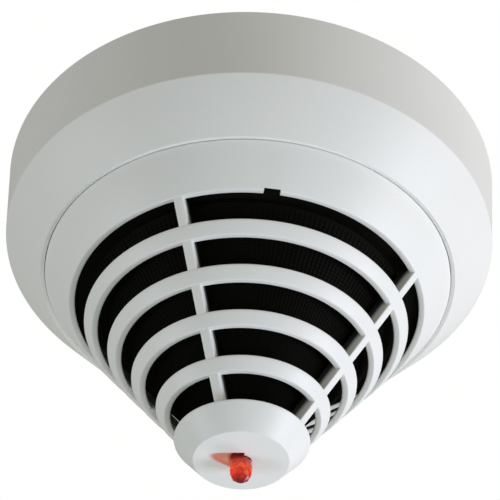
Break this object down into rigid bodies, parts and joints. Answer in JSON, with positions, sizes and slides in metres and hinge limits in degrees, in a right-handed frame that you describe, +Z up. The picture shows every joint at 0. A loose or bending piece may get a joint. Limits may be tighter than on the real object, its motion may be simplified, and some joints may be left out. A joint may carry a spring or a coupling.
{
  "type": "heat detector",
  "caption": "Ceiling heat detector with a round surface base and a conical louvred head that twists out.",
  "frame": {"origin": "centre of the base's flat face that lies on the ceiling", "axes": "+Z up into the ceiling, so the detector hangs into negative z; -Y is the front"},
  "size_m": [0.1228, 0.1228, 0.088],
  "materials": {
    "white_plastic": "fine satin moulded white",
    "carrier_plastic": "satin moulded off-white",
    "black_plastic": "matt black",
    "terminal_plastic": "matt grey-green",
    "steel": "bright zinc",
    "contact_brass": "bright",
    "seal_rubber": "matt",
    "chip_black": "moulded epoxy",
    "dial_orange": "satin",
    "board_green": "solder mask",
    "red_lens": "clear red, polished",
    "thermistor_coat": "dipped coating",
    "label_silver": "satin silver, blank"
  },
  "bodies": {
    "base": {"base_housing": "white_plastic", "base_socket": "carrier_plastic", "socket_screw_1": "steel", "socket_screw_2": "steel", "terminal_block_1": "terminal_plastic", "terminal_block_2": "terminal_plastic", "terminal_screw_1": "steel", "terminal_screw_2": "steel", "terminal_screw_3": "steel", "terminal_screw_4": "steel", "terminal_screw_5": "steel", "terminal_screw_6": "steel", "contact_spring_1": "contact_brass", "contact_spring_2": "contact_brass", "contact_spring_3": "contact_brass", "contact_spring_4": "contact_brass", "contact_spring_5": "contact_brass", "contact_spring_6": "contact_brass"},
    "seal": {"seal_ring": "seal_rubber"},
    "head": {"cover": "white_plastic", "chassis": "carrier_plastic", "chassis_screw_1": "steel", "chassis_screw_2": "steel", "chassis_screw_3": "steel", "head_contact_1": "contact_brass", "head_contact_2": "contact_brass", "head_contact_3": "contact_brass", "head_contact_4": "contact_brass", "head_contact_5": "contact_brass", "head_contact_6": "contact_brass", "address_switch_1": "chip_black", "address_switch_2": "chip_black", "address_switch_3": "chip_black", "address_board": "board_green", "main_board": "board_green", "board_link": "black_plastic", "processor_chip": "chip_black", "amplifier_chip": "chip_black", "protection_diode": "chip_black", "buffer_capacitor": "steel", "current_resistor": "chip_black", "led_emitter": "red_lens", "light_pipe": "red_lens", "insect_screen": "black_plastic", "sensor_holder": "black_plastic", "thermistor_bead": "thermistor_coat", "thermistor_lead_1": "steel", "thermistor_lead_2": "steel", "rating_label": "label_silver"},
    "dial_1": {"address_dial_1": "dial_orange"},
    "dial_2": {"address_dial_2": "dial_orange"},
    "dial_3": {"address_dial_3": "dial_orange"}
  },
  "joints": [
    {"name": "head_pull_off", "type": "slide", "parent": "base", "child": "seal", "axis": [0, 0, -1], "range_m": [0, 0.06]},
    {"name": "head_turn", "type": "hinge", "parent": "seal", "child": "head", "pos_m": [0, 0, 0], "axis": [0, 0, 1], "range_deg": [0, 22]},
    {"name": "address_dial_1_turn", "type": "hinge", "parent": "head", "child": "dial_1", "pos_m": [-0.011, 0.024, -0.015], "axis": [0, 0, 1], "continuous": true},
    {"name": "address_dial_2_turn", "type": "hinge", "parent": "head", "child": "dial_2", "pos_m": [0, 0.024, -0.015], "axis": [0, 0, 1], "continuous": true},
    {"name": "address_dial_3_turn", "type": "hinge", "parent": "head", "child": "dial_3", "pos_m": [0.011, 0.024, -0.015], "axis": [0, 0, 1], "continuous": true}
  ]
}
